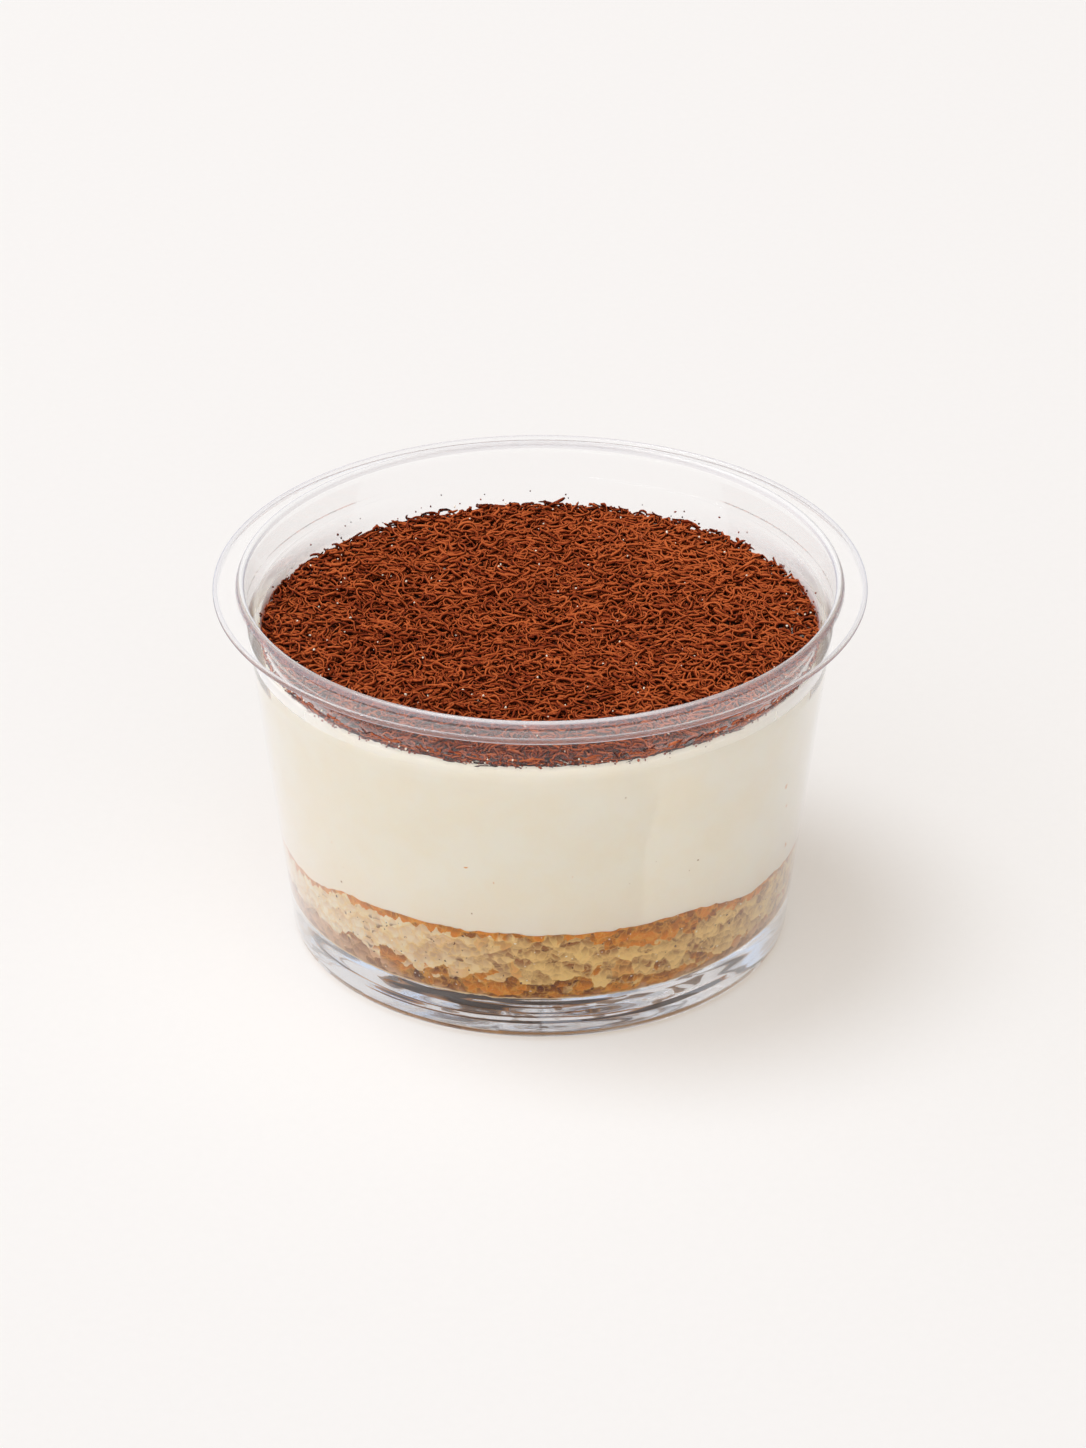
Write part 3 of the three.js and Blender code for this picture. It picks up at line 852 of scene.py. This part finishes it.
def lay_shavings(
    name, seed, count, length, turning, level, steps, tone, tilt=0.5, lift=0.0, start=0.0
):
    """A joined mesh of shavings that lie at about one level of the tangle."""
    rng = np.random.default_rng(seed)
    x, y, rise = shaving_paths(count, rng, length, turning, steps, tilt, start=start)
    stops = np.linspace(-1, 1, steps + 1)
    own = rng.normal(level, 0.13, (count, 1))
    slope = rng.normal(0, 0.15, (count, 1)) * stops
    droop = rng.uniform(0.05, 0.25, (count, 1)) * stops**2
    free_end = lift * rng.uniform(0, 1, (count, 1)) ** 2 * (stops + 1)
    z = heap(x, y) + own + slope - droop + rise + free_end
    x, y = within_wall(x, y, z)
    width = SHAVING_WIDTH * rng.uniform(0.6, 1.2, count)
    points, faces = ribbon(x, y, z, width, SHAVING_THICKNESS * rng.uniform(0.8, 1.2, count))
    piece(
        name, points, faces, loose_chocolate,
        shade={"shade": ridge_shade(rng, tone, 0.17, x, y)},
    )


loose_chocolate = chocolate(
    "shaved_chocolate", colour(38, 9, 3), colour(134, 49, 18), colour(208, 108, 56)
)
lay_shavings("lower_shavings", 11, 3600, (2.4, 4.6), (0.4, 3.4), -0.75, 5, 0.1, tilt=0.3)
lay_shavings("broken_shavings", 15, 3000, (0.5, 1.3), (0.2, 1.6), -0.5, 2, 0.3, tilt=0.5)
lay_shavings("wavy_shavings", 12, 2300, (3.2, 7.0), (0.3, 3.0), -0.4, 12, 0.42, tilt=0.5)
lay_shavings("curled_shavings", 13, 2500, (3.0, 6.0), (2.0, 5.6), -0.15, 12, 0.55, tilt=0.8)
lay_shavings(
    "standing_shavings", 14, 300, (1.4, 2.8), (0.4, 2.4), -0.1, 8, 0.2, lift=0.55, start=0.965
)


# Shavings pressed on the wall: the edge of the layer as it shows through the clear plastic, with
# its ragged lower line over the cream.
WALL_SHAVINGS = 420
WALL_STEPS = 7


def wall_shavings():
    rng = np.random.default_rng(21)
    along = (np.arange(WALL_STEPS) + 0.5) / WALL_STEPS - 0.5
    bend = (rng.uniform(0.5, 3.6, WALL_SHAVINGS) * rng.choice([-1, 1], WALL_SHAVINGS))[:, None]
    heading = rng.normal(0, 0.9, (WALL_SHAVINGS, 1)) + bend * along
    run = rng.uniform(1.4, 3.0, (WALL_SHAVINGS, 1)) / WALL_STEPS
    start = np.zeros((WALL_SHAVINGS, 1))
    around = np.cumsum(np.hstack([start, run * np.cos(heading)]), axis=1)
    rise = np.cumsum(np.hstack([start, run * np.sin(heading)]), axis=1)
    rise -= rise.mean(axis=1, keepdims=True)
    angle = rng.uniform(0, 2 * np.pi, (WALL_SHAVINGS, 1)) + around / inner_radius(CREAM_TOP)
    level = rng.uniform(CREAM_TOP + 0.35, SHAVINGS_TOP + 0.1, (WALL_SHAVINGS, 1))
    z = tilted(level + 0.4 * rise, inner_radius(CREAM_TOP) * np.sin(angle))
    away = inner_radius(z) + rng.uniform(0.0, 0.16, (WALL_SHAVINGS, 1))
    x, y = away * np.cos(angle), away * np.sin(angle)
    outward = np.stack([np.cos(angle), np.sin(angle), 0 * angle], -1)
    width = SHAVING_WIDTH * rng.uniform(0.7, 1.0, WALL_SHAVINGS)
    points, faces = ribbon(x, y, z, width, 0.6 * width, flat=outward)
    piece(
        "wall_shavings", points, faces, loose_chocolate,
        shade={"shade": ridge_shade(rng, 0.85, 0.2, x, y)},
    )


wall_shavings()


# Crumbs and sugar: broken bits of chocolate cling to the wall under and over the layer's edge, and
# a few grains of sugar lie between the shavings and against the wall.
def grains(name, centres, sizes, rng, finish, tones):
    """A joined mesh of small uneven grains, each a knocked-about twenty-sided lump."""
    golden = (1 + math.sqrt(5)) / 2
    pairs = [(a, b * golden) for a in (-1, 1) for b in (-1, 1)]
    knots = [(a, b, 0) for a, b in pairs] + [(0, a, b) for a, b in pairs]
    knots = np.array(knots + [(b, 0, a) for a, b in pairs]) / math.hypot(1, golden)
    outward = []
    for i, j, k in itertools.combinations(range(12), 3):
        sides = knots[[i, j, k]] - knots[[j, k, i]]
        if np.linalg.norm(sides, axis=1).max() < 1.2:
            faces_out = np.dot(np.cross(knots[j] - knots[i], knots[k] - knots[i]), knots[i]) > 0
            outward.append((i, j, k) if faces_out else (i, k, j))
    count = len(centres)
    knock = rng.uniform(0.7, 1.25, (count, 12, 1))
    squeeze = rng.uniform(0.65, 1.2, (count, 1, 3))
    points = centres[:, None] + 0.5 * sizes[:, None, None] * knots * knock * squeeze
    faces = (np.arange(count)[:, None, None] * 12 + np.array(outward)).reshape(-1, 3)
    shades = np.repeat(tones, 12)
    return piece(
        name, points.reshape(-1, 3), faces.tolist(), finish, shade={"shade": shades}
    )


def sugar():
    finish = new_finish("sugar")
    cloud = finish.grain(4000, detail=2.0)
    return finish.show(finish.surface({
        "Base Color": finish.blend(cloud, colour(255, 232, 200), colour(255, 248, 232)),
        "Roughness": 0.3 + 0.2 * cloud,
        "Subsurface Weight": 0.2,
        "Subsurface Radius": (1.0, 0.9, 0.8),
        "Subsurface Scale": 0.2 * MM,
        "Normal": finish.bump(cloud, 0.03),
    }))


def wall_spots(rng, count, low, high, sink):
    """Places on the wall's inner face between two heights."""
    angle = rng.uniform(0, 2 * np.pi, count)
    z = tilted(rng.uniform(low, high, count), inner_radius(low) * np.sin(angle))
    away = inner_radius(z) + sink
    return np.column_stack([away * np.cos(angle), away * np.sin(angle), z])


EDGE_CRUMBS = 420
HANGING_CRUMBS = 190
CLINGING_CRUMBS = 90


def edge_crumbs():
    rng = np.random.default_rng(31)
    along_edge = wall_spots(rng, EDGE_CRUMBS, CREAM_TOP + 0.1, CREAM_TOP + 0.45, 0.06)
    hanging = wall_spots(rng, HANGING_CRUMBS, CREAM_TOP - 0.05, CREAM_TOP + 0.15, 0.12)
    hanging[:, 2] -= rng.exponential(0.14, HANGING_CRUMBS)
    centres = np.vstack([along_edge, hanging])
    sizes = np.concatenate([
        rng.uniform(0.3, 0.6, EDGE_CRUMBS),
        rng.uniform(0.25, 0.45, HANGING_CRUMBS),
    ])
    grains(
        "edge_crumbs", centres, sizes, rng, loose_chocolate,
        rng.uniform(0.3, 0.8, len(centres)),
    )


def clinging_crumbs():
    rng = np.random.default_rng(32)
    centres = wall_spots(rng, CLINGING_CRUMBS, SHAVINGS_TOP + 0.2, SHAVINGS_TOP + 3.2, -0.05)
    centres[:, 2] -= rng.uniform(0, 1, len(centres)) * (centres[:, 2] - SHAVINGS_TOP) * 0.6
    grains(
        "clinging_crumbs", centres, rng.uniform(0.18, 0.42, len(centres)), rng, loose_chocolate,
        rng.uniform(0, 0.6, len(centres)),
    )


SUGAR_ON_TOP = 110
SUGAR_ON_WALL = 60


def sugar_grains():
    rng = np.random.default_rng(33)
    angle = rng.uniform(0, 2 * np.pi, SUGAR_ON_TOP)
    away = (inner_radius(SHAVINGS_TOP) - 0.4) * rng.uniform(0, 1, SUGAR_ON_TOP) ** 0.42
    x, y = away * np.cos(angle), away * np.sin(angle)
    on_top = np.column_stack([x, y, heap(x, y) + rng.uniform(0.1, 0.3, SUGAR_ON_TOP)])
    on_wall = wall_spots(rng, SUGAR_ON_WALL, CREAM_TOP, SHAVINGS_TOP + 0.4, 0.24)
    centres = np.vstack([on_top, on_wall])
    grains(
        "sugar_grains", centres, rng.uniform(0.22, 0.4, len(centres)), rng, sugar(),
        np.ones(len(centres)),
    )


edge_crumbs()
clinging_crumbs()
sugar_grains()


# The table: a plain pale sheet that is lit from below as well, so that shadows on it stay light.
# A soft lamp stands high on the left, and the pale room, brighter on that side, fills in the rest.
FLOOR_SIZE = 6.0
LAMP_AIM = (-0.37, 0.10, 0.92)
LAMP_DISTANCE = 3.0
LAMP_SIZE = 1.6
LAMP_POWER = 41.0
ROOM_LIGHT = 0.704
LEFT_GAIN = 0.64
FRONT_GAIN = 1.03
SEEN_ROOM = (0.97, 0.955, 0.94, 1.0)
ROOM_SHADE = (0.5, 0.49, 0.5, 1.0)
ROOM_WINDOW = (0.78, 0.9, 1.08, 1.0)
SIDE_WINDOW = (0.95, 1.1, 1.38, 1.0)


def pale_sheet():
    finish = new_finish("pale_sheet")
    tooth = finish.grain(700, detail=3.0)
    return finish.show(finish.surface({
        "Base Color": finish.blend(tooth, (0.51, 0.535, 0.58, 1.0), (0.53, 0.555, 0.60, 1.0)),
        "Roughness": 0.85 + 0.1 * tooth,
        "Specular IOR Level": 0.05,
        "Emission Color": (0.401, 0.349, 0.285, 1.0),
        "Emission Strength": 1.0,
        "Normal": finish.bump(tooth, 0.01),
    }))


half = FLOOR_SIZE / 2
floor_mesh = bpy.data.meshes.new("table")
floor_mesh.from_pydata(
    [(-half, -half, 0), (half, -half, 0), (half, half, 0), (-half, half, 0)], [], [(0, 1, 2, 3)]
)
floor_mesh.materials.append(pale_sheet().block)
floor = bpy.data.objects.new("table", floor_mesh)
bpy.context.scene.collection.objects.link(floor)

room = Finish(bpy.data.worlds.new("room"))
toward = room.node("ShaderNodeTexCoord", {}, {}, "Generated")
right, back, up = [room.axis(toward, name) for name in "XYZ"]
brightness = ROOM_LIGHT * (0.75 + 0.25 * up) * (1 - LEFT_GAIN * right - FRONT_GAIN * back)
brightness = brightness.maths("MAXIMUM", brightness, 0.02)
tint = room.blend(up.between(0.0, 0.5), (0.9, 0.95, 1.04, 1.0), (1.0, 0.985, 0.97, 1.0))
window = (0 - right).between(0.3, 1.0) * (1 - up.between(0.2, 0.6))
tint = room.blend(window, tint, SIDE_WINDOW)
low = 1 - up.between(0.65, 0.85)
shades = room.grain(1.6, detail=2.0, stretch=(2, 2, 9), spot=toward).between(0.46, 0.56)
windows = room.grain(1.1, detail=1.0, stretch=(3, 3, 5), spot=toward).between(0.52, 0.6)
through = room.blend(shades * low, SEEN_ROOM, ROOM_SHADE)
through = room.blend(windows * low, through, ROOM_WINDOW)
mirrored = room.node("ShaderNodeLightPath", {}, {}, "Is Glossy Ray")
refracted = room.node("ShaderNodeLightPath", {}, {}, "Is Transmission Ray")
seen = room.blend(refracted, SEEN_ROOM, through)
lighting = room.node("ShaderNodeBackground", {}, {"Color": tint, "Strength": brightness})
surroundings = room.node("ShaderNodeBackground", {}, {"Color": seen, "Strength": 1.0})
room.show(
    room.layered(mirrored + refracted, lighting, surroundings), "ShaderNodeOutputWorld"
)
bpy.context.scene.world = room.block

lamp_data = bpy.data.lights.new("soft_lamp", "AREA")
lamp_data.shape = "DISK"
lamp_data.size = LAMP_SIZE
lamp_data.energy = LAMP_POWER
lamp_data.color = (1.0, 0.99, 0.98)
lamp = bpy.data.objects.new("soft_lamp", lamp_data)
bpy.context.scene.collection.objects.link(lamp)
aim = np.array(LAMP_AIM) / np.linalg.norm(LAMP_AIM)
lamp.location = aim * LAMP_DISTANCE
lamp.rotation_euler = lamp.location.to_track_quat("Z", "Y").to_euler()


# The camera: a long lens that looks down on the cup from in front. Light is followed through the
# clear cup for about as many turns as its thick base bends and mirrors it.
CAMERA_PLACE = (0.00042, -0.7229, 0.4373)
CAMERA_PITCH = 29.29
CAMERA_LENS = 140.0
TURNS_OF_LIGHT = 13

camera_data = bpy.data.cameras.new("camera")
camera_data.lens = CAMERA_LENS
camera_data.sensor_width = 36.0
camera_data.clip_start = 0.01
camera = bpy.data.objects.new("camera", camera_data)
camera.location = CAMERA_PLACE
camera.rotation_euler = (math.radians(90 - CAMERA_PITCH), 0, 0)
bpy.context.scene.collection.objects.link(camera)
bpy.context.scene.camera = camera
bpy.context.scene.view_settings.view_transform = "Standard"
paths_of_light = bpy.context.scene.cycles
paths_of_light.transparent_max_bounces = 16
paths_of_light.diffuse_bounces = 4
paths_of_light.max_bounces = TURNS_OF_LIGHT
paths_of_light.glossy_bounces = TURNS_OF_LIGHT
paths_of_light.transmission_bounces = TURNS_OF_LIGHT
